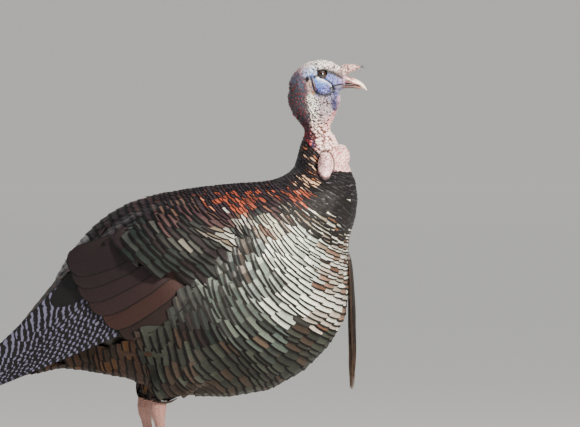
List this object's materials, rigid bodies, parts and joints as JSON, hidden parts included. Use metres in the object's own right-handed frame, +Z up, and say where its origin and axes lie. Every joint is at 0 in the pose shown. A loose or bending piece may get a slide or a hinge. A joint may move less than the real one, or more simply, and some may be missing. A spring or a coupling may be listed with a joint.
{
  "type": "wild turkey",
  "caption": "Life-size standing wild turkey gobbler with its neck drawn up, breast puffed, snood pulled in, wings folded low and tail hanging, as a still model.",
  "frame": {"origin": "on the floor, below the middle of the bird's box, from bill tip to tail tip and from side to side", "axes": "+X forwards, the way the bird faces; +Y to its left; +Z up"},
  "size_m": [0.6844, 0.2734, 0.7],
  "materials": {
    "bare_head": "bare bluish skin, white on the crown and blue round the eye, bumpy and satin",
    "bill": "horn, pinkish at the root and ivory at the tip, satin",
    "snood": "wrinkled pale pink skin, satin",
    "wattle": "warty pale pink skin, satin",
    "eye": "wet, dark brown round a black pupil",
    "neck_plumage": "short dark feathers edged with buff",
    "body_plumage": "gleaming green to bronze feathers, each with a black tip band",
    "wing_coverts": "gleaming bronze and green-grey feathers edged with black",
    "wing_tertials": "bronze brown feathers",
    "wing_primaries": "long feathers barred with grey-white and black",
    "tail_plumage": "brown feathers barred with black, with a dark band and a buff tip",
    "vent_plumage": "dark brown feathers with chestnut tips",
    "thigh_plumage": "short dark brown feathers",
    "beard": "coarse black bristles",
    "leg": "scaled pinkish red skin, satin",
    "claw": "dark horn, satin"
  },
  "bodies": {
    "root": {"head": "bare_head", "bill_upper": "bill", "bill_lower": "bill", "snood": "snood", "neck_upper": "bare_head", "neck_lower": "neck_plumage", "trunk": "body_plumage", "wattle_right": "wattle", "wattle_left": "wattle", "wattle_front": "wattle", "beard": "beard", "tail": "tail_plumage", "tail_underside": "vent_plumage", "eye_right": "eye", "wing_coverts_right": "wing_coverts", "wing_tertials_right": "wing_tertials", "wing_primaries_right": "wing_primaries", "thigh_right": "thigh_plumage", "shank_right": "leg", "spur_right": "claw", "toe_middle_right": "leg", "claw_middle_right": "claw", "toe_outer_right": "leg", "claw_outer_right": "claw", "toe_inner_right": "leg", "claw_inner_right": "claw", "toe_hallux_right": "leg", "claw_hallux_right": "claw", "eye_left": "eye", "wing_coverts_left": "wing_coverts", "wing_tertials_left": "wing_tertials", "wing_primaries_left": "wing_primaries", "thigh_left": "thigh_plumage", "shank_left": "leg", "spur_left": "claw", "toe_middle_left": "leg", "claw_middle_left": "claw", "toe_outer_left": "leg", "claw_outer_left": "claw", "toe_inner_left": "leg", "claw_inner_left": "claw", "toe_hallux_left": "leg", "claw_hallux_left": "claw"}
  },
  "joints": []
}
